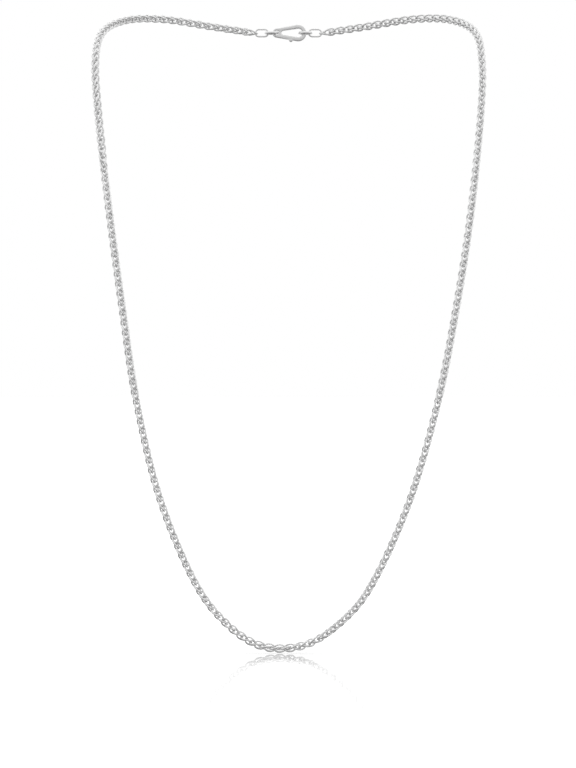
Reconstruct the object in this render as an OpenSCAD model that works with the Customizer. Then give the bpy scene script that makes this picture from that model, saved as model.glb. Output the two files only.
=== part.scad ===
// Wheat chain necklace: a round silver chain in one whole loop, closed at the nape by a lobster clasp.
// The woven links are too many to be solids here, so a tube of the chain's own width stands for them.
// Millimetres, +Z up. The origin is at the nape, in the middle of the clasp, and the wearer faces -Y.

/* [Loop] */
// Greatest width across the loop, between the chain's centre lines
loop_w = 104; // [96:1:112]
// Depth of the loop, from the nape to the front
loop_d = 61; // [54:1:68]
// Drop of the loop, from the nape to its lowest point
loop_drop = 167; // [150:1:184]

/* [Chain] */
// Outer width of the chain, and of the plain link at each end
chain_w = 2.4; // [2.1:0.1:2.7]
// Thickness of the wire of the links
link_wire = 0.44; // [0.36:0.02:0.46]
// Length of the plain link at each end
link_l = 4; // [3.4:0.1:5]

/* [Jump rings] */
// Outer width of a jump ring
ring_w = 4; // [3.8:0.1:4.6]
// Thickness of a jump ring's wire
ring_wire = 0.7; // [0.5:0.05:0.75]

/* [Clasp] */
// Length of the clasp, from the tail to the nose
clasp_l = 9.5; // [8.5:0.1:12]
// Width of the clasp at the nose
clasp_w = 4.6; // [4:0.1:5.4]
// Wall of the clasp around its opening
clasp_wall = 1.1; // [0.8:0.05:1.3]
// Thickness of the clasp
clasp_t = 1.8; // [1.4:0.1:2]
// Wall around the eye in the clasp's tail
tail_wall = 0.6; // [0.5:0.05:0.8]
// Width of the opening at its narrow end, by the tail
opening_end_w = 1.2; // [0.8:0.1:1.6]
// Width of the thumb lever that stands half out of the clasp's side
lever_w = 1.1; // [0.8:0.1:1.4]

/* [Fits] */
// Gap between pieces that hang in each other
gap = 0.12; // [0.06:0.01:0.14]

/* [Hidden] */
silver = [0.84, 0.84, 0.85];
facets = 48;
clasp_facets = 32;
left = -1;
right = 1;

// A jump ring goes round a wall of the clasp, and its round hole clears that wall at both faces.
// The wall's near face then lies this far from the ring's centre, towards the middle of the clasp.
ring_r = (ring_w - ring_wire) / 2;
reach_r = ring_w / 2 - ring_wire - gap;
seat = sqrt(reach_r ^ 2 - (clasp_t / 2) ^ 2);
eye_bore = ring_w / 2 + gap - seat;
tail_w = eye_bore + 2 * tail_wall;

// Where each piece lies on the X axis, the rings and the end links the same on both sides
ring_x = (clasp_l - clasp_wall - tail_wall) / 2 + seat;
link_start_x = ring_x + reach_r - link_wire;
link_x = link_start_x + link_l / 2;
chain_end_x = link_start_x + link_l + gap;

// The clasp's own places on the X axis
tail_x = -ring_x + seat + eye_bore / 2;
nose_x = ring_x - seat + clasp_wall - clasp_w / 2;
opening_r = clasp_w / 2 - clasp_wall;
opening_end_x = tail_x + (tail_w + opening_end_w) / 2;
lever_x = (opening_end_x + nose_x) / 2;
lever_z = -(tail_w + (clasp_w - tail_w) * (lever_x - tail_x) / (nose_x - tail_x)) / 2;

// The chain's route from the left end link to the right one, in percent:
// [across, of half the loop's width; forward, of its depth; down, of its drop]
ROUTE = [
    [-41, -2, 1],
    [-66, -9, 2],
    [-85, -22, 1.5],
    [-97, -41, -1],
    [-100, -59, -6],
    [-98, -72, -14.5],
    [-92, -87, -29.5],
    [-84, -97, -47],
    [-77, -100, -61],
    [-66, -100, -75.5],
    [-50, -100, -88],
    [-35, -100, -95],
    [-15, -100, -99.5],
    [8, -100, -99.5],
    [28, -100, -95.5],
    [43, -100, -89.5],
    [61, -100, -77],
    [75, -100, -62],
    [85, -97, -46.5],
    [93, -88, -31],
    [99, -72, -14.5],
    [100, -59, -6],
    [97, -41, -1],
    [85, -22, 1.5],
    [66, -9, 2],
    [41, -2, 1]
];
route_scale = [loop_w / 2, loop_d, loop_drop] / 100;
chain_start = [-chain_end_x, 0, 0];
chain_end = [chain_end_x, 0, 0];
path = concat([chain_start], [for (p = ROUTE) [for (i = [0:2]) p[i] * route_scale[i]]], [chain_end]);
last = len(path) - 1;

// The tube's flat sides touch the chain's round outside. It has a ring about every three chain widths,
// and its sides start from one fixed direction, which is square to the plane that the loop hangs in.
tube_sides = 8;
tube_r = chain_w / 2 / cos(180 / tube_sides);
ring_step = chain_w * 3;
loop_normal = [0, loop_drop, -loop_d];

function unit(v) = v / norm(v);

// A point of the path, with one more beyond each end that carries the chain's direction on
function path_point(i) =
    i < 0 ? 2 * path[0] - path[1] :
    i > last ? 2 * path[last] - path[last - 1] :
    path[i];

// A smooth curve through the path's points, at the share t of the way from point i to the next
function curve_point(i, t) =
    let (a = path_point(i - 1), b = path_point(i), c = path_point(i + 1), d = path_point(i + 2))
    (2 * b + (c - a) * t + (2 * a - 5 * b + 4 * c - d) * t ^ 2 + (3 * b - a - 3 * c + d) * t ^ 3) / 2;

function curve_heading(i, t) =
    let (a = path_point(i - 1), b = path_point(i), c = path_point(i + 1), d = path_point(i + 2))
    unit((c - a) + 2 * (2 * a - 5 * b + 4 * c - d) * t + 3 * (3 * b - a - 3 * c + d) * t ^ 2);

// The rings' stations along the curve, each as [point before it, share of the way to the next]
stations = concat(
    [for (i = [0:last - 1])
        let (steps = max(2, round(norm(path[i + 1] - path[i]) / ring_step)))
        for (k = [0:steps - 1]) [i, k / steps]],
    [[last, 0]]
);

// The corners of one ring of the tube, turned square to the curve
function tube_ring(station) =
    let (
        centre = curve_point(station[0], station[1]),
        heading = curve_heading(station[0], station[1]),
        side = unit(cross(heading, loop_normal)),
        up = cross(side, heading)
    )
    [for (k = [0:tube_sides - 1])
        let (angle = (k + 0.5) * 360 / tube_sides)
        centre + (side * cos(angle) + up * sin(angle)) * tube_r];

module chain() {
    rings = [for (s = stations) tube_ring(s)];
    corners = [for (r = rings) each r];
    count = len(rings);
    walls = [for (i = [0:count - 2], k = [0:tube_sides - 1])
        let (here = i * tube_sides, next = (k + 1) % tube_sides)
        [here + k, here + next, here + tube_sides + next, here + tube_sides + k]];
    first_cap = [for (k = [tube_sides - 1:-1:0]) k];
    last_cap = [for (k = [0:tube_sides - 1]) (count - 1) * tube_sides + k];
    color(silver) polyhedron(corners, concat(walls, [first_cap, last_cap]), convexity = 10);
}

// Round wire bent round the Z axis, from the X axis on
module bent_wire(radius, wire, turn = 360) {
    rotate_extrude(angle = turn, $fn = facets) translate([radius, 0]) circle(d = wire, $fn = facets);
}

// A plain oval link of round wire, standing in the XZ plane
module oval_link(length, width, wire) {
    bend_r = (width - wire) / 2;
    straight = length - width;
    rotate([90, 0, 0]) {
        for (side = [left, right]) {
            translate([side * straight / 2, 0, 0]) rotate([0, 0, -side * 90])
                bent_wire(bend_r, wire, turn = 180);
            translate([-straight / 2, side * bend_r, 0]) rotate([0, 90, 0])
                cylinder(d = wire, h = straight, $fn = facets);
        }
    }
}

module end_link(side) {
    color(silver) translate([side * link_x, 0, 0]) oval_link(link_l, chain_w, link_wire);
}

module jump_ring(side) {
    color(silver) translate([side * ring_x, 0, 0]) bent_wire(ring_r, ring_wire);
}

// Two circles on the X axis with straight flanks that touch both, the smaller one first
module drop_outline(x1, r1, x2, r2) {
    hull() {
        translate([x1, 0]) circle(r1, $fn = clasp_facets);
        translate([x2, 0]) circle(r2, $fn = clasp_facets);
    }
}

module lobster_clasp() {
    color(silver) rotate([90, 0, 0]) linear_extrude(clasp_t, center = true) difference() {
        union() {
            drop_outline(tail_x, tail_w / 2, nose_x, clasp_w / 2);
            translate([lever_x, lever_z]) circle(d = lever_w, $fn = facets);
        }
        drop_outline(opening_end_x, opening_end_w / 2, nose_x, opening_r);
        translate([tail_x, 0]) circle(d = eye_bore, $fn = facets);
    }
}

chain();
end_link(left);  // end_link_left
end_link(right);  // end_link_right
jump_ring(left);  // jump_ring_left
jump_ring(right);  // jump_ring_right
lobster_clasp();
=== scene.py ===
import math

import bmesh
import bpy
from bpy.props import FloatProperty, IntProperty, PointerProperty, StringProperty
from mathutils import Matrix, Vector
from mathutils.geometry import tessellate_polygon


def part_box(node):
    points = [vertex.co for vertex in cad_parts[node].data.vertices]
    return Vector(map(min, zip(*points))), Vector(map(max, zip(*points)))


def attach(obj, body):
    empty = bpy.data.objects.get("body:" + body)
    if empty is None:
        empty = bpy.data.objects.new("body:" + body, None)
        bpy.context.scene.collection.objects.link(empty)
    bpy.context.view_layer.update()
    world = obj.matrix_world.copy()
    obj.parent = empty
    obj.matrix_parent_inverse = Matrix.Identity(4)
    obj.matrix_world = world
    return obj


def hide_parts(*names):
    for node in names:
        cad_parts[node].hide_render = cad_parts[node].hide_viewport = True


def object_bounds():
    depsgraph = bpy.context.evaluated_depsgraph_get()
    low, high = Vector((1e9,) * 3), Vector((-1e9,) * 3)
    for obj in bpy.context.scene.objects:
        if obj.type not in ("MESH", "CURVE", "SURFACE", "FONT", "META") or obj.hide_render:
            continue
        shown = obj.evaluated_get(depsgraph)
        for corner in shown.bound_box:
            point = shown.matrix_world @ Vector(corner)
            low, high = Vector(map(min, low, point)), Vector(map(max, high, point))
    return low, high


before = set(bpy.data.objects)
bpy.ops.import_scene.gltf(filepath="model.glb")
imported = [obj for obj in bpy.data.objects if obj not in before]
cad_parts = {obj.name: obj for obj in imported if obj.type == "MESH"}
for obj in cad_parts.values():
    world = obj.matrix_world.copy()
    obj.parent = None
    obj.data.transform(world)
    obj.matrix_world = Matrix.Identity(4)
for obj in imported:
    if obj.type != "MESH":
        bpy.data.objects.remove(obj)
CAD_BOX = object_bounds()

bl_info = {
    "name": "Wheat Chain Necklace",
    "version": (1, 0, 0),
    "blender": (4, 5, 0),
    "location": "3D View > Sidebar > Necklace",
    "description": "Builds a woven wheat chain, its rings and its clasp round the packed necklace",
    "category": "Add Mesh",
}

MM = 0.001

# The plain end link gives the chain's width and its wire, and where the chain starts and ends
END_LOW, END_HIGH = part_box("end_link_right")
CHAIN_WIDTH = END_HIGH.z - END_LOW.z
END_WIRE = END_HIGH.y - END_LOW.y
CLASP_LOW, CLASP_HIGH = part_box("lobster_clasp")
# The gap between pieces that hang in each other
GAP = 0.12 * MM
# How much narrower the woven chain is than the tube that stands for it in the CAD
WEAVE_INSET = 0.02 * MM
# Points of the fine oval that a link's even steps are taken from
OVAL_POINTS = 96
# The first strand's own turn about the chain, and how much further on the second strand lies
FIRST_TURN = math.pi / 4
STRAND_TURN = math.pi / 2
WHITE = (1.0, 1.0, 1.0, 1.0)

# The share of the dull colour that a film of tarnish brings where it is thin and where it is thick,
# that a spot on the chain's own axis has as painted shade, and by which a link may differ from the mean
THIN_FILM = -0.1
THICK_FILM = 0.3
HOLLOW_SHADE = 0.1
LINK_TARNISH = 0.12
# How much the tarnish, the painted shade deep in the weave and the polishing marks change the roughness
TARNISH_ROUGHNESS = 0.15
MARK_ROUGHNESS = 0.05
# A mark's depth against the distance between two marks
MARK_DEPTH = 0.05

# The chain's route from the left end link to the right one, as the CAD has it, in percent:
# (across, of half the loop's width; forward, of its depth; down, of its drop)
ROUTE = (
    (-41, -2, 1),
    (-66, -9, 2),
    (-85, -22, 1.5),
    (-97, -41, -1),
    (-100, -59, -6),
    (-98, -72, -14.5),
    (-92, -87, -29.5),
    (-84, -97, -47),
    (-77, -100, -61),
    (-66, -100, -75.5),
    (-50, -100, -88),
    (-35, -100, -95),
    (-15, -100, -99.5),
    (8, -100, -99.5),
    (28, -100, -95.5),
    (43, -100, -89.5),
    (61, -100, -77),
    (75, -100, -62),
    (85, -97, -46.5),
    (93, -88, -31),
    (99, -72, -14.5),
    (100, -59, -6),
    (97, -41, -1),
    (85, -22, 1.5),
    (66, -9, 2),
    (41, -2, 1),
)

# How far the weave is turned about its own axis along the route: (share of the route, degrees)
WEAVE_TURN = (
    (0.0, 77.5),
    (0.18, 32.0),
    (0.215, -12.0),
    (0.45, -12.0),
    (0.478, -28.0),
    (0.495, -45.0),
    (0.513, -74.0),
    (0.53, -94.0),
    (0.55, -93.0),
    (0.58, -85.0),
    (0.79, -81.0),
    (1.0, -167.5),
)


class LoopSizes(bpy.types.PropertyGroup):
    width: FloatProperty(
        name="Width", description="Greatest width across the loop, between the chain's centre lines",
        default=104 * MM, unit="LENGTH",
    )
    depth: FloatProperty(
        name="Depth", description="From the nape to the front of the loop",
        default=61 * MM, unit="LENGTH",
    )
    drop: FloatProperty(
        name="Drop", description="From the nape to the lowest point of the loop",
        default=167 * MM, unit="LENGTH",
    )
    steps: IntProperty(
        name="Steps", description="Straight steps between two points of the route",
        default=24, min=4,
    )


class LinkSizes(bpy.types.PropertyGroup):
    width: FloatProperty(
        name="Chain width", description="Outer width of the woven chain, a hair less than the CAD's tube",
        default=CHAIN_WIDTH - WEAVE_INSET, unit="LENGTH",
    )
    wire: FloatProperty(
        name="Wire", description="Thickness of the links' wire",
        default=0.5 * MM, unit="LENGTH",
    )
    pitch: FloatProperty(
        name="Pitch", description="Distance between two links of the same hand",
        default=2.637 * MM, unit="LENGTH",
    )
    play: FloatProperty(
        name="Play", description="Free room where two links hang in each other",
        default=0.013 * MM, unit="LENGTH",
    )
    twist: FloatProperty(
        name="Twist", description="Turn of a link from one end to the other",
        default=math.radians(80), subtype="ANGLE",
    )
    roundness: FloatProperty(
        name="Roundness",
        description="Length of a link's bend, against half its width to the middle of its wire",
        default=1.4, min=0.5,
    )
    wire_steps: IntProperty(name="Wire steps", description="Segments round one link", default=16, min=12)
    wire_sides: IntProperty(name="Wire sides", description="Sides of the wire", default=5, min=4)
    wobble: FloatProperty(
        name="Wobble", description="How far a link lies off the true weave",
        default=math.radians(1.2), subtype="ANGLE",
    )
    seed: IntProperty(name="Seed", description="Seed of the wobble and the tone", default=4)


class ClaspSizes(bpy.types.PropertyGroup):
    wall: FloatProperty(
        name="Wall", description="Wall of the clasp around its opening",
        default=1.1 * MM, unit="LENGTH",
    )
    tail_wall: FloatProperty(
        name="Tail wall", description="Wall around the eye in the clasp's tail",
        default=0.6 * MM, unit="LENGTH",
    )
    opening_end: FloatProperty(
        name="Opening end", description="Width of the opening at its narrow end",
        default=1.2 * MM, unit="LENGTH",
    )
    width: FloatProperty(
        name="Width", description="Width of the clasp at the nose",
        default=4.6 * MM, unit="LENGTH",
    )
    lever: FloatProperty(
        name="Lever", description="Width of the thumb lever that stands half out of the side",
        default=1.1 * MM, unit="LENGTH",
    )
    rounding: FloatProperty(
        name="Rounding", description="Radius that the clasp's edges are rounded to",
        default=0.28 * MM, unit="LENGTH",
    )
    arc_steps: IntProperty(
        name="Arc steps", description="Segments in each arc of the outline",
        default=32, min=8,
    )
    round_steps: IntProperty(
        name="Rounding steps", description="Segments across a rounded edge",
        default=5, min=2,
    )
    wire_steps: IntProperty(
        name="Ring steps", description="Segments round a ring or an end link",
        default=64, min=16,
    )
    wire_sides: IntProperty(name="Ring sides", description="Sides of a ring's wire", default=20, min=8)


class SilverFinish(bpy.types.PropertyGroup):
    bright: StringProperty(
        name="Silver", description="sRGB hex of clean polished silver", default="F6F6F6",
    )
    # The dull colour serves both the tarnish and the painted shade deep in the weave
    dull: StringProperty(
        name="Tarnish", description="sRGB hex of the silver between the links", default="DADADA",
    )
    roughness: FloatProperty(name="Roughness", description="Roughness of the polished wire", default=0.35)
    film: FloatProperty(
        name="Film", description="Length of a patch of tarnish",
        default=2.3 * MM, unit="LENGTH",
    )
    marks: FloatProperty(
        name="Marks", description="Distance between two drawn polishing marks",
        default=0.12 * MM, unit="LENGTH",
    )


class StudioSizes(bpy.types.PropertyGroup):
    distance: FloatProperty(
        name="Camera distance", description="From the camera to the front of the chain",
        default=1.1, unit="LENGTH",
    )
    pixel: FloatProperty(
        name="Pixel", description="Width that one pixel of the picture covers at the front of the chain",
        default=0.2632 * MM, unit="LENGTH",
    )
    image_height: IntProperty(name="Image height", description="Pixels down the picture", default=768)
    sensor: FloatProperty(name="Sensor", description="Long side of the sensor in mm", default=36.0)
    eye_height: FloatProperty(
        name="Camera height", description="Height of the camera against the nape",
        default=-97.5 * MM, unit="LENGTH",
    )
    shift: FloatProperty(
        name="Shift", description="How far the camera stands to the left of the nape",
        default=0.13 * MM, unit="LENGTH",
    )
    floor_gap: FloatProperty(
        name="Floor gap", description="From the lowest link to the floor",
        default=0.05 * MM, unit="LENGTH",
    )
    floor_size: FloatProperty(
        name="Floor size", description="Side of the floor",
        default=40.0, unit="LENGTH",
    )
    floor_colour: StringProperty(name="Floor", description="sRGB hex of the floor", default="FFFFFF")
    floor_roughness: FloatProperty(
        name="Floor roughness", description="Roughness of the floor", default=0.04,
    )
    # Painted shade: the floor glows less under the chain, which darkens the floor round its foot and lets
    # it mirror the chain there
    painted_shade_glow: FloatProperty(
        name="Floor glow", description="Light that comes through the floor under the chain", default=0.06,
    )
    far_glow: FloatProperty(
        name="Far glow", description="Light that comes through the floor away from the chain", default=0.34,
    )
    fade: FloatProperty(
        name="Fade", description="From the chain to where the floor's light hides its mirror image",
        default=72 * MM, unit="LENGTH",
    )
    front_light: FloatProperty(
        name="Front", description="Brightness of the studio behind the camera", default=0.72,
    )
    back_light: FloatProperty(
        name="Back", description="Brightness of the studio behind the chain", default=1.1,
    )
    low_light: FloatProperty(
        name="Low", description="Brightness straight below, against that of the walls", default=0.17,
    )
    top_light: FloatProperty(
        name="Top", description="Brightness overhead, against that of the walls", default=1.08,
    )
    top_edge: FloatProperty(
        name="Top edge", description="Height of a direction, from -1 to 1, where the overhead light begins",
        default=0.4,
    )


def linear(hex_colour):
    """Turns an sRGB hex value to a linear RGBA colour."""
    def channel(value):
        return value / 12.92 if value <= 0.04045 else ((value + 0.055) / 1.055) ** 2.4
    return tuple(channel(int(hex_colour[i:i + 2], 16) / 255) for i in (0, 2, 4)) + (1.0,)


def add_node(tree, kind, inputs=None, **settings):
    """Adds a node, with its settings, and its inputs as values or as sockets to link from."""
    node = tree.nodes.new(kind)
    for name, value in settings.items():
        setattr(node, name, value)
    for key, value in (inputs or {}).items():
        if isinstance(value, bpy.types.NodeSocket):
            tree.links.new(value, node.inputs[key])
        else:
            node.inputs[key].default_value = value
    return node


def route_points(loop):
    """The route's corners in metres, from the left end link to the right one."""
    end_x = END_HIGH.x + GAP
    size = (loop.width / 2, loop.depth, loop.drop)
    inner = [Vector(share / 100 * side for share, side in zip(row, size)) for row in ROUTE]
    return [Vector((-end_x, 0, 0)), *inner, Vector((end_x, 0, 0))]


def smooth_route(points, steps):
    """A smooth curve through the points, with one more beyond each end that carries its direction on."""
    points = [2 * points[0] - points[1], *points, 2 * points[-1] - points[-2]]
    curve = []
    for a, b, c, d in zip(points, points[1:], points[2:], points[3:]):
        for step in range(steps):
            t = step / steps
            curve.append((2 * b + (c - a) * t + (2 * a - 5 * b + 4 * c - d) * t ** 2
                          + (3 * b - a - 3 * c + d) * t ** 3) / 2)
    return curve + [points[-2]]


def eased(table, share):
    """The table's value at a share, eased from row to row."""
    for (low, start), (high, end) in zip(table, table[1:]):
        if share <= high:
            t = (share - low) / (high - low)
            return start + (end - start) * t * t * (3 - 2 * t)
    return table[-1][1]


def add_link(tree, given, half_width, bend, straight, length, turn):
    """Nodes that make one link about the Z axis: a closed oval of wire, twisted from end to end."""
    circle = add_node(
        tree, "GeometryNodeCurvePrimitiveCircle", {"Resolution": OVAL_POINTS, "Radius": 1.0}, mode="RADIUS",
    ).outputs[0]
    position = add_node(tree, "GeometryNodeInputPosition").outputs[0]
    parts = add_node(tree, "ShaderNodeSeparateXYZ", {0: position}).outputs
    across, along = parts[0], parts[1]

    # Each half of the circle becomes a bend, and moves out to leave a straight stretch between the two
    end = add_node(tree, "ShaderNodeMath", {0: along}, operation="SIGN").outputs[0]
    aside = add_node(tree, "ShaderNodeMath", {0: end, 1: straight}, operation="MULTIPLY").outputs[0]
    x = add_node(tree, "ShaderNodeMath", {0: across, 1: half_width}, operation="MULTIPLY").outputs[0]
    y = add_node(tree, "ShaderNodeMath", {0: along, 1: bend, 2: aside}, operation="MULTIPLY_ADD").outputs[0]
    oval = add_node(tree, "ShaderNodeCombineXYZ", {0: x, 1: y}).outputs[0]
    flat = add_node(tree, "GeometryNodeSetPosition", {"Geometry": circle, "Position": oval}).outputs[0]
    even = add_node(
        tree, "GeometryNodeResampleCurve", {"Curve": flat, "Count": given["Wire steps"]}, mode="COUNT",
    ).outputs[0]

    # The oval then stands up along the Z axis, and each point turns about it by its share of the twist
    share = add_node(tree, "ShaderNodeMath", {0: along, 1: length}, operation="DIVIDE").outputs[0]
    angle = add_node(tree, "ShaderNodeMath", {0: share, 1: turn}, operation="MULTIPLY").outputs[0]
    place = {2: along}
    for axis, operation in enumerate(("COSINE", "SINE")):
        part = add_node(tree, "ShaderNodeMath", {0: angle}, operation=operation).outputs[0]
        place[axis] = add_node(
            tree, "ShaderNodeMath", {0: across, 1: part}, operation="MULTIPLY",
        ).outputs[0]
    twisted = add_node(tree, "ShaderNodeCombineXYZ", place).outputs[0]
    bent = add_node(tree, "GeometryNodeSetPosition", {"Geometry": even, "Position": twisted}).outputs[0]

    radius = add_node(tree, "ShaderNodeMath", {0: given["Wire"], 1: 0.5}, operation="MULTIPLY").outputs[0]
    profile = add_node(
        tree, "GeometryNodeCurvePrimitiveCircle", {"Resolution": given["Wire sides"], "Radius": radius},
        mode="RADIUS",
    ).outputs[0]
    return add_node(tree, "GeometryNodeCurveToMesh", {"Curve": bent, "Profile Curve": profile}).outputs[0]


def wheat_tree():
    """Geometry Nodes that weave links of both hands along a route that carries its turn in radians."""
    tree = bpy.data.node_groups.new("Wheat weave", "GeometryNodeTree")
    for name, kind in (
        ("Route", "Geometry"), ("Chain width", "Float"), ("Wire", "Float"), ("Pitch", "Float"),
        ("Play", "Float"), ("Inset", "Float"), ("Links", "Int"), ("Twist", "Float"), ("Roundness", "Float"),
        ("Wire steps", "Int"), ("Wire sides", "Int"), ("Wobble", "Float"), ("Seed", "Int"),
        ("Silver", "Material"),
    ):
        tree.interface.new_socket(name, in_out="INPUT", socket_type="NodeSocket" + kind)
    tree.interface.new_socket("Weave", in_out="OUTPUT", socket_type="NodeSocketGeometry")
    given = add_node(tree, "NodeGroupInput").outputs

    # A link's sizes, all to the middle of its wire
    width = add_node(
        tree, "ShaderNodeMath", {0: given["Chain width"], 1: given["Wire"]}, operation="SUBTRACT",
    ).outputs[0]
    half_width = add_node(tree, "ShaderNodeMath", {0: width, 1: 0.5}, operation="MULTIPLY").outputs[0]
    bend = add_node(
        tree, "ShaderNodeMath", {0: half_width, 1: given["Roundness"]}, operation="MULTIPLY",
    ).outputs[0]
    hooked = add_node(
        tree, "ShaderNodeMath", {0: given["Pitch"], 1: given["Wire"]}, operation="ADD",
    ).outputs[0]
    length = add_node(tree, "ShaderNodeMath", {0: hooked, 1: given["Play"]}, operation="ADD").outputs[0]
    half_length = add_node(tree, "ShaderNodeMath", {0: length, 1: 0.5}, operation="MULTIPLY").outputs[0]
    straight = add_node(tree, "ShaderNodeMath", {0: half_length, 1: bend}, operation="SUBTRACT").outputs[0]

    # The links stand at even stations on the route, which is cut back at both ends by the inset
    curve = add_node(tree, "GeometryNodeMeshToCurve", {"Mesh": given["Route"]}).outputs[0]
    curve_length = add_node(tree, "GeometryNodeCurveLength", {"Curve": curve}).outputs[0]
    stop = add_node(
        tree, "ShaderNodeMath", {0: curve_length, 1: given["Inset"]}, operation="SUBTRACT",
    ).outputs[0]
    # Inputs 4 and 5 are the start and the end of the kept run, as lengths
    run = add_node(
        tree, "GeometryNodeTrimCurve", {0: curve, 4: given["Inset"], 5: stop}, mode="LENGTH",
    ).outputs[0]
    stations = add_node(
        tree, "GeometryNodeResampleCurve", {"Curve": run, "Count": given["Links"]}, mode="COUNT",
    ).outputs[0]

    # A link's Z axis follows the chain, and its Y axis points as far as it can away from the viewer
    tangent = add_node(tree, "GeometryNodeInputTangent").outputs[0]
    along = add_node(tree, "FunctionNodeAlignRotationToVector", {"Vector": tangent}, axis="Z").outputs[0]
    upright = add_node(
        tree, "FunctionNodeAlignRotationToVector", {"Rotation": along, "Vector": (0.0, 1.0, 0.0)},
        axis="Y", pivot_axis="Z",
    ).outputs[0]
    # Every second link is of the other strand, and all of them turn with the weave
    index = add_node(tree, "GeometryNodeInputIndex").outputs[0]
    odd = add_node(tree, "ShaderNodeMath", {0: index, 1: 2.0}, operation="MODULO").outputs[0]
    strand = add_node(
        tree, "ShaderNodeMath", {0: odd, 1: STRAND_TURN, 2: FIRST_TURN}, operation="MULTIPLY_ADD",
    ).outputs[0]
    turn = add_node(tree, "GeometryNodeInputNamedAttribute", {"Name": "turn"}, data_type="FLOAT").outputs[0]
    angle = add_node(tree, "ShaderNodeMath", {0: turn, 1: strand}, operation="ADD").outputs[0]
    about = add_node(
        tree, "FunctionNodeAxisAngleToRotation", {"Axis": (0.0, 0.0, 1.0), "Angle": angle},
    ).outputs[0]
    turned = add_node(
        tree, "FunctionNodeRotateRotation", {"Rotation": upright, "Rotate By": about},
        rotation_space="LOCAL",
    ).outputs[0]
    # Each link lies a little off the true weave, about all three axes
    draw = add_node(
        tree, "FunctionNodeRandomValue",
        {0: (-1.0, -1.0, -1.0), 1: (1.0, 1.0, 1.0), "Seed": given["Seed"]}, data_type="FLOAT_VECTOR",
    ).outputs[0]
    shake = add_node(
        tree, "ShaderNodeVectorMath", {0: draw, "Scale": given["Wobble"]}, operation="SCALE",
    ).outputs[0]
    wobble = add_node(tree, "FunctionNodeEulerToRotation", {0: shake}).outputs[0]
    shaken = add_node(
        tree, "FunctionNodeRotateRotation", {"Rotation": turned, "Rotate By": wobble},
        rotation_space="LOCAL",
    ).outputs[0]

    # One link differs a little in tone from the next, and the silver gets painted shade deep in the weave
    tone_seed = add_node(tree, "ShaderNodeMath", {0: given["Seed"], 1: 1.0}, operation="ADD").outputs[0]
    tone = add_node(
        tree, "FunctionNodeRandomValue", {2: -1.0, 3: 1.0, "Seed": tone_seed}, data_type="FLOAT",
    ).outputs[1]
    position = add_node(tree, "GeometryNodeInputPosition").outputs[0]
    off_axis = add_node(
        tree, "ShaderNodeVectorMath", {0: position, 1: (1.0, 1.0, 0.0)}, operation="MULTIPLY",
    ).outputs[0]
    reach = add_node(tree, "ShaderNodeVectorMath", {0: off_axis}, operation="LENGTH").outputs["Value"]
    outside = add_node(
        tree, "ShaderNodeMath", {0: given["Chain width"], 1: 0.5}, operation="MULTIPLY",
    ).outputs[0]
    share = add_node(tree, "ShaderNodeMath", {0: reach, 1: outside}, operation="DIVIDE").outputs[0]
    hollow = add_node(tree, "ShaderNodeMath", {0: 1.0, 1: share}, operation="SUBTRACT").outputs[0]

    weave = add_node(tree, "GeometryNodeJoinGeometry")
    for hand, remainder in ((1.0, 0.0), (-1.0, 1.0)):
        twist = add_node(
            tree, "ShaderNodeMath", {0: given["Twist"], 1: hand}, operation="MULTIPLY",
        ).outputs[0]
        link = add_link(tree, given, half_width, bend, straight, length, twist)
        marked = add_node(
            tree, "GeometryNodeStoreNamedAttribute", {"Geometry": link, "Name": "hollow", "Value": hollow},
            data_type="FLOAT", domain="POINT",
        ).outputs[0]
        chosen = add_node(
            tree, "FunctionNodeCompare", {"A": odd, "B": remainder, "Epsilon": 0.5},
            data_type="FLOAT", operation="EQUAL",
        ).outputs[0]
        placed = add_node(
            tree, "GeometryNodeInstanceOnPoints",
            {"Points": stations, "Selection": chosen, "Instance": marked, "Rotation": shaken},
        ).outputs[0]
        toned = add_node(
            tree, "GeometryNodeStoreNamedAttribute", {"Geometry": placed, "Name": "tone", "Value": tone},
            data_type="FLOAT", domain="INSTANCE",
        ).outputs[0]
        tree.links.new(toned, weave.inputs[0])
    real = add_node(tree, "GeometryNodeRealizeInstances", {0: weave.outputs[0]}).outputs[0]
    smooth = add_node(
        tree, "GeometryNodeSetShadeSmooth", {"Geometry": real, "Shade Smooth": True},
    ).outputs[0]
    finished = add_node(
        tree, "GeometryNodeSetMaterial", {"Geometry": smooth, "Material": given["Silver"]},
    ).outputs[0]
    add_node(tree, "NodeGroupOutput", {"Weave": finished})
    return tree


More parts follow.
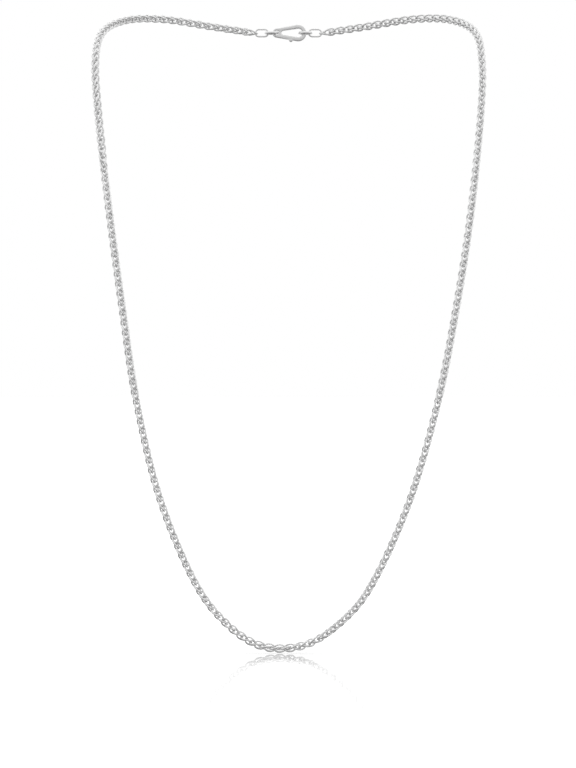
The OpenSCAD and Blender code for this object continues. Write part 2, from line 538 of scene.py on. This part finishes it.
def silver_material(finish):
    """Drawn and tumbled sterling silver: bright and soft in gloss, with faint painted shade deep in the
    weave.

    The chain's mesh says how deep a spot lies in the weave and how one link differs from the next. A piece
    that carries neither reads as the open outside, in the mean tone.
    """
    material = bpy.data.materials.new("polished sterling silver")
    material.use_nodes = True
    tree = material.node_tree
    shader = tree.nodes["Principled BSDF"]
    place = add_node(tree, "ShaderNodeTexCoord").outputs["Object"]
    hollow = add_node(tree, "ShaderNodeAttribute", attribute_name="hollow").outputs["Fac"]
    tone = add_node(tree, "ShaderNodeAttribute", attribute_name="tone").outputs["Fac"]
    # Tarnish lies in films about as long as the chain is wide
    film = add_node(
        tree, "ShaderNodeTexNoise",
        {"Vector": place, "Scale": 1 / finish.film, "Detail": 3.0, "Roughness": 0.55},
    ).outputs["Fac"]
    # The real polishing marks are about 0.01 mm apart. These are drawn coarser, so that they show close by
    marks = add_node(
        tree, "ShaderNodeTexNoise",
        {"Vector": place, "Scale": 1 / finish.marks, "Detail": 2.0, "Roughness": 0.6},
    ).outputs["Fac"]

    # The share of the dull colour comes from the film of tarnish, the depth in the weave as painted shade,
    # and the link's own tone.
    # Most of a noise lies between the two values that each range starts from.
    uneven = add_node(
        tree, "ShaderNodeMapRange",
        {"Value": film, "From Min": 0.35, "From Max": 0.7, "To Min": THIN_FILM, "To Max": THICK_FILM},
    ).outputs[0]
    # Painted shade: the deeper a spot lies in the weave, the more of the dull colour it gets
    deep = add_node(
        tree, "ShaderNodeMath", {0: hollow, 1: HOLLOW_SHADE, 2: uneven}, operation="MULTIPLY_ADD",
    ).outputs[0]
    tarnish_and_shade = add_node(
        tree, "ShaderNodeMath", {0: tone, 1: LINK_TARNISH, 2: deep},
        operation="MULTIPLY_ADD", use_clamp=True,
    ).outputs[0]
    # Inputs 6 and 7 and output 2 are the colours
    colour = add_node(
        tree, "ShaderNodeMix", {"Factor": tarnish_and_shade, 6: linear(finish.bright), 7: linear(finish.dull)},
        data_type="RGBA",
    ).outputs[2]

    gloss = add_node(
        tree, "ShaderNodeMapRange",
        {"Value": marks, "From Min": 0.3, "From Max": 0.7,
         "To Min": finish.roughness - MARK_ROUGHNESS, "To Max": finish.roughness + MARK_ROUGHNESS},
    ).outputs[0]
    rough = add_node(
        tree, "ShaderNodeMath", {0: tarnish_and_shade, 1: TARNISH_ROUGHNESS, 2: gloss}, operation="MULTIPLY_ADD",
    ).outputs[0]
    relief = add_node(
        tree, "ShaderNodeBump", {"Height": marks, "Strength": 0.3, "Distance": finish.marks * MARK_DEPTH},
    ).outputs[0]
    shader.inputs["Metallic"].default_value = 1.0
    tree.links.new(colour, shader.inputs["Base Color"])
    tree.links.new(rough, shader.inputs["Roughness"])
    tree.links.new(relief, shader.inputs["Normal"])
    return material


def floor_material(studio, foot):
    """Satin white acrylic on a light table, dimmed under the chain as painted shade; only there is the
    chain mirrored.
    """
    material = bpy.data.materials.new("satin white acrylic")
    material.use_nodes = True
    tree = material.node_tree
    shader = tree.nodes["Principled BSDF"]
    place = add_node(tree, "ShaderNodeTexCoord").outputs["Object"]
    away = add_node(
        tree, "ShaderNodeVectorMath", {0: place, 1: foot}, operation="DISTANCE",
    ).outputs["Value"]
    # Painted shade: the floor's light drops near the chain's foot, where the chain's mirror image then
    # shows
    glow = add_node(
        tree, "ShaderNodeMapRange",
        {"Value": away, "From Min": 0.0, "From Max": studio.fade,
         "To Min": studio.painted_shade_glow, "To Max": studio.far_glow},
        interpolation_type="SMOOTHSTEP",
    ).outputs[0]
    tree.links.new(glow, shader.inputs["Emission Strength"])
    shader.inputs["Base Color"].default_value = linear(studio.floor_colour)
    shader.inputs["Roughness"].default_value = studio.floor_roughness
    shader.inputs["Emission Color"].default_value = WHITE
    return material


def studio_world(studio):
    """A white tent that is dimmer towards the camera and below. The camera itself sees plain white."""
    world = bpy.data.worlds.new("Studio")
    world.use_nodes = True
    tree = world.node_tree
    tree.nodes.clear()
    # A direction's Y goes from -1, towards the camera, to 1. Its Z goes from -1, straight below, to 1.
    direction = add_node(tree, "ShaderNodeTexCoord").outputs["Generated"]
    parts = add_node(tree, "ShaderNodeSeparateXYZ", {0: direction}).outputs
    depth = add_node(
        tree, "ShaderNodeMapRange",
        {"Value": parts[1], "From Min": -1.0, "From Max": 1.0,
         "To Min": studio.front_light, "To Max": studio.back_light},
    ).outputs[0]
    height = add_node(
        tree, "ShaderNodeMapRange",
        {"Value": parts[2], "From Min": -1.0, "From Max": studio.top_edge,
         "To Min": studio.low_light, "To Max": studio.top_light},
    ).outputs[0]
    strength = add_node(tree, "ShaderNodeMath", {0: depth, 1: height}, operation="MULTIPLY").outputs[0]
    light = add_node(tree, "ShaderNodeBackground", {"Color": WHITE, "Strength": strength}).outputs[0]
    seen = add_node(tree, "ShaderNodeBackground", {"Color": WHITE, "Strength": 1.0}).outputs[0]
    from_camera = add_node(tree, "ShaderNodeLightPath").outputs["Is Camera Ray"]
    mixed = add_node(tree, "ShaderNodeMixShader", {0: from_camera, 1: light, 2: seen}).outputs[0]
    add_node(tree, "ShaderNodeOutputWorld", {"Surface": mixed})
    return world


def finish_piece(piece, *nodes):
    """A new piece rides on the part's one body and stands for the named nodes, which it hides."""
    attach(piece, "root")
    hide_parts(*nodes)


def add_piece(name, corners, faces, *nodes):
    """A smooth closed piece with its faces outward, in silver, that stands for the named nodes."""
    mesh = bpy.data.meshes.new(name)
    mesh.from_pydata(corners, [], faces)
    mesh.shade_smooth()
    mesh.materials.append(bpy.data.materials["polished sterling silver"])
    shape = bmesh.new()
    shape.from_mesh(mesh)
    bmesh.ops.recalc_face_normals(shape, faces=shape.faces)
    shape.to_mesh(mesh)
    shape.free()
    piece = bpy.data.objects.new(name, mesh)
    bpy.context.scene.collection.objects.link(piece)
    finish_piece(piece, *nodes)


def grid_faces(rows, columns, closed):
    """Faces between rows of corners. Each row closes on itself, and the last one may join the first."""
    faces = []
    for row in range(rows if closed else rows - 1):
        here, there = row * columns, (row + 1) % rows * columns
        for column in range(columns):
            after = (column + 1) % columns
            faces.append((here + column, here + after, there + after, there + column))
    return faces


def bent_wire(centre, square, radius, sides):
    """Corners and faces of round wire along a flat closed centre line. square is the line's own normal."""
    corners = []
    for before, here, after in zip(centre[-1:] + centre[:-1], centre, centre[1:] + centre[:1]):
        outward = (after - before).cross(square).normalized()
        for side in range(sides):
            angle = math.tau * side / sides
            corners.append(here + radius * (math.cos(angle) * outward + math.sin(angle) * square))
    return corners, grid_faces(len(centre), sides, closed=True)


def arc(x, z, radius, start, end, steps):
    """Points of an arc round (x, z), from one angle to another."""
    angles = [start + (end - start) * step / steps for step in range(steps + 1)]
    return [(x + radius * math.cos(angle), z + radius * math.sin(angle)) for angle in angles]


def drop_outline(x1, r1, x2, r2, steps):
    """A circle on the X axis and a bigger one beyond it, with the straight flanks that touch both."""
    touch = math.acos((r1 - r2) / (x2 - x1))
    return arc(x2, 0, r2, -touch, touch, steps) + arc(x1, 0, r1, touch, math.tau - touch, steps)


class NECKLACE_OT_silver(bpy.types.Operator):
    """Makes the polished silver, and gives it to the solids that the pieces stand for too"""
    bl_idname = "necklace.silver"
    bl_label = "Silver finish"

    def execute(self, context):
        silver = silver_material(context.scene.necklace_finish)
        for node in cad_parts.values():
            for material_slot in node.material_slots:
                material_slot.material = silver
        return {"FINISHED"}


class NECKLACE_OT_chain(bpy.types.Operator):
    """Weaves the wheat chain along its route"""
    bl_idname = "necklace.chain"
    bl_label = "Wheat chain"

    def execute(self, context):
        loop, link = context.scene.necklace_loop, context.scene.necklace_link
        curve = smooth_route(route_points(loop), loop.steps)
        lengths = [0.0]
        for here, there in zip(curve, curve[1:]):
            lengths.append(lengths[-1] + (there - here).length)
        route = bpy.data.meshes.new("chain route")
        route.from_pydata(curve, [(i, i + 1) for i in range(len(curve) - 1)], [])
        turn = route.attributes.new("turn", "FLOAT", "POINT")
        for point, length in zip(turn.data, lengths):
            point.value = math.radians(eased(WEAVE_TURN, length / lengths[-1]))
        guide = bpy.data.objects.new("chain_route", route)
        context.scene.collection.objects.link(guide)

        # The first and the last link hook into the plain end links, and the pitch is evened out to fit.
        # The hook reaches from the route's end, through the end link's wire, to the woven wire inside it.
        hook = GAP + END_WIRE + GAP / 2 + link.wire / 2
        whole = lengths[-1] + 2 * hook - link.wire - link.play
        count = round(whole / link.pitch)
        pitch = whole / count
        inset = (pitch + link.wire + link.play) / 2 - hook
        weave = guide.modifiers.new("Wheat weave", "NODES")
        weave.node_group = wheat_tree()
        given = {
            "Chain width": link.width, "Wire": link.wire, "Pitch": pitch, "Play": link.play, "Inset": inset,
            "Links": 2 * count - 1, "Twist": link.twist, "Roundness": link.roundness,
            "Wire steps": link.wire_steps, "Wire sides": link.wire_sides, "Wobble": link.wobble,
            "Seed": link.seed, "Silver": bpy.data.materials["polished sterling silver"],
        }
        for item in weave.node_group.interface.items_tree:
            if item.name in given:
                weave[item.identifier] = given[item.name]
        graph = context.evaluated_depsgraph_get()
        mesh = bpy.data.meshes.new_from_object(
            guide.evaluated_get(graph), preserve_all_data_layers=True, depsgraph=graph,
        )
        bpy.data.objects.remove(guide)
        if not mesh.polygons:
            raise RuntimeError("the weave has no faces")
        mesh.name = "wheat_chain"
        chain = bpy.data.objects.new("wheat_chain", mesh)
        context.scene.collection.objects.link(chain)
        finish_piece(chain, "chain")
        return {"FINISHED"}


class NECKLACE_OT_rings(bpy.types.Operator):
    """Makes the round jump rings and the plain oval end links"""
    bl_idname = "necklace.rings"
    bl_label = "Jump rings and end links"

    def execute(self, context):
        clasp = context.scene.necklace_clasp
        steps, sides = clasp.wire_steps, clasp.wire_sides
        for side in ("left", "right"):
            low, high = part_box("jump_ring_" + side)
            middle, wire = (low + high) / 2, high.z - low.z
            reach = (high.y - low.y - wire) / 2
            centre = [middle + Vector((x, y, 0)) for x, y in arc(0, 0, reach, 0, math.tau, steps)[:-1]]
            corners, faces = bent_wire(centre, Vector((0, 0, 1)), wire / 2, sides)
            add_piece("jump_ring_wire_" + side, corners, faces, "jump_ring_" + side)

            low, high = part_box("end_link_" + side)
            middle, wire = (low + high) / 2, high.y - low.y
            reach = (high.z - low.z - wire) / 2
            straight = (high.x - low.x - wire) / 2 - reach
            oval = (arc(straight, 0, reach, -math.pi / 2, math.pi / 2, steps // 2)
                    + arc(-straight, 0, reach, math.pi / 2, math.pi * 3 / 2, steps // 2))
            centre = [middle + Vector((x, 0, z)) for x, z in oval]
            corners, faces = bent_wire(centre, Vector((0, 1, 0)), wire / 2, sides)
            add_piece("end_link_wire_" + side, corners, faces, "end_link_" + side)
        return {"FINISHED"}


class NECKLACE_OT_clasp(bpy.types.Operator):
    """Makes the closed lobster clasp, with an eye, an opening, a thumb lever and rounded edges"""
    bl_idname = "necklace.clasp"
    bl_label = "Lobster clasp"

    def execute(self, context):
        clasp = context.scene.necklace_clasp
        steps = clasp.arc_steps
        thick = CLASP_HIGH.y - CLASP_LOW.y
        ring_low, ring_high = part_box("jump_ring_right")
        ring_width, ring_wire = ring_high.y - ring_low.y, ring_high.z - ring_low.z
        # A ring's round hole clears the clasp's wall at both faces
        seat = math.sqrt((ring_width / 2 - ring_wire - GAP) ** 2 - (thick / 2) ** 2)
        eye = ring_width / 2 + GAP - seat
        tail = eye + 2 * clasp.tail_wall
        tail_x = CLASP_LOW.x + tail / 2
        nose_x = CLASP_HIGH.x - clasp.width / 2
        end_x = tail_x + (tail + clasp.opening_end) / 2
        lever_x = (end_x + nose_x) / 2
        lever_z = -(tail + (clasp.width - tail) * (lever_x - tail_x) / (nose_x - tail_x)) / 2

        def outside(inset):
            """The outline with the lever in its lower flank, moved in by the inset."""
            body = drop_outline(tail_x, tail / 2 - inset, nose_x, clasp.width / 2 - inset, steps)
            start, end = Vector(body[-1]), Vector(body[0])
            lever = Vector((lever_x, lever_z))
            radius = clasp.lever / 2 - inset
            flank = (end - start).normalized()
            foot = (lever - start).dot(flank)
            aside = (lever - start - flank * foot).length
            reach = math.sqrt(radius ** 2 - aside ** 2)
            first, last = (start + flank * (foot + way * reach) - lever for way in (-1, 1))
            angles = [math.atan2(point.y, point.x) % math.tau for point in (first, last)]
            if angles[1] < angles[0]:
                angles[1] += math.tau
            return body + arc(lever_x, lever_z, radius, *angles, steps)

        def opening(inset):
            end_r, nose_r = clasp.opening_end / 2, clasp.width / 2 - clasp.wall
            return drop_outline(end_x, end_r + inset, nose_x, nose_r + inset, steps)

        def eye_hole(inset):
            return arc(tail_x, 0, eye / 2 + inset, 0, math.tau, 2 * steps)[:-1]

        # Each outline is a wall of rows from one face of the clasp to the other, and the two faces are then
        # filled between the outlines
        turns = [math.pi / 2 * step / clasp.round_steps for step in range(clasp.round_steps + 1)]
        rows = [(clasp.rounding * (1 - math.sin(turn)), thick / 2 - clasp.rounding * (1 - math.cos(turn)))
                for turn in turns]
        rows = [(inset, -y) for inset, y in rows] + [(inset, y) for inset, y in reversed(rows)]
        corners, faces, rims = [], [], []
        for outline in (outside, opening, eye_hole):
            first = len(corners)
            for inset, y in rows:
                corners += [Vector((x, y, z)) for x, z in outline(inset)]
            count = (len(corners) - first) // len(rows)
            wall = grid_faces(len(rows), count, closed=False)
            faces += [[first + corner for corner in face] for face in wall]
            rims.append((range(first, first + count), range(len(corners) - count, len(corners))))
        for front_and_back in zip(*rims):
            numbers = [number for rim in front_and_back for number in rim]
            fill = tessellate_polygon([[corners[number] for number in rim] for rim in front_and_back])
            faces += [[numbers[corner] for corner in face] for face in fill]
        add_piece("lobster_clasp_body", corners, faces, "lobster_clasp")
        return {"FINISHED"}


class NECKLACE_OT_stage(bpy.types.Operator):
    """Sets the plain white floor, the soft light and the camera"""
    bl_idname = "necklace.stage"
    bl_label = "Stage"

    def execute(self, context):
        scene = context.scene
        studio = scene.necklace_studio
        scene.view_settings.view_transform = "Standard"

        floor_z = CAD_BOX[0].z - studio.floor_gap
        half = studio.floor_size / 2
        mesh = bpy.data.meshes.new("floor")
        square = ((-half, -half), (half, -half), (half, half), (-half, half))
        mesh.from_pydata([(x, y, floor_z) for x, y in square], [], [(0, 1, 2, 3)])
        floor = bpy.data.objects.new("floor", mesh)
        scene.collection.objects.link(floor)
        # The silver reflects the soft gradient of the studio, and not a floor that has no end
        floor.visible_glossy = False
        mesh.materials.append(floor_material(studio, (0, -scene.necklace_loop.depth, floor_z)))
        scene.world = studio_world(studio)

        camera_data = bpy.data.cameras.new("camera")
        camera_data.sensor_width = studio.sensor
        camera_data.lens = studio.sensor * studio.distance / (studio.pixel * studio.image_height)
        camera = bpy.data.objects.new("camera", camera_data)
        camera.location = (-studio.shift, -scene.necklace_loop.depth - studio.distance, studio.eye_height)
        camera.rotation_euler = (math.pi / 2, 0, 0)
        scene.collection.objects.link(camera)
        scene.camera = camera
        return {"FINISHED"}


class NECKLACE_PT_panel(bpy.types.Panel):
    """Lists the necklace's pieces in the order that they are made"""
    bl_label = "Wheat Chain Necklace"
    bl_idname = "NECKLACE_PT_panel"
    bl_space_type = "VIEW_3D"
    bl_region_type = "UI"
    bl_category = "Necklace"

    def draw(self, context):
        scene = context.scene
        for name, group in GROUPS.items():
            box = self.layout.box()
            for setting in group.__annotations__:
                box.prop(getattr(scene, name), setting)
        for operator in OPERATORS:
            self.layout.operator(operator.bl_idname)


GROUPS = {
    "necklace_loop": LoopSizes,
    "necklace_link": LinkSizes,
    "necklace_clasp": ClaspSizes,
    "necklace_finish": SilverFinish,
    "necklace_studio": StudioSizes,
}
OPERATORS = (NECKLACE_OT_silver, NECKLACE_OT_chain, NECKLACE_OT_rings, NECKLACE_OT_clasp, NECKLACE_OT_stage)


def register():
    for name, group in GROUPS.items():
        bpy.utils.register_class(group)
        setattr(bpy.types.Scene, name, PointerProperty(type=group))
    for operator in OPERATORS:
        bpy.utils.register_class(operator)
    bpy.utils.register_class(NECKLACE_PT_panel)


def unregister():
    bpy.utils.unregister_class(NECKLACE_PT_panel)
    for operator in reversed(OPERATORS):
        bpy.utils.unregister_class(operator)
    for name, group in reversed(GROUPS.items()):
        delattr(bpy.types.Scene, name)
        bpy.utils.unregister_class(group)


def main():
    register()
    bpy.ops.necklace.silver()
    bpy.ops.necklace.chain()
    bpy.ops.necklace.rings()
    bpy.ops.necklace.clasp()
    bpy.ops.necklace.stage()


if __name__ == "__main__":
    main()
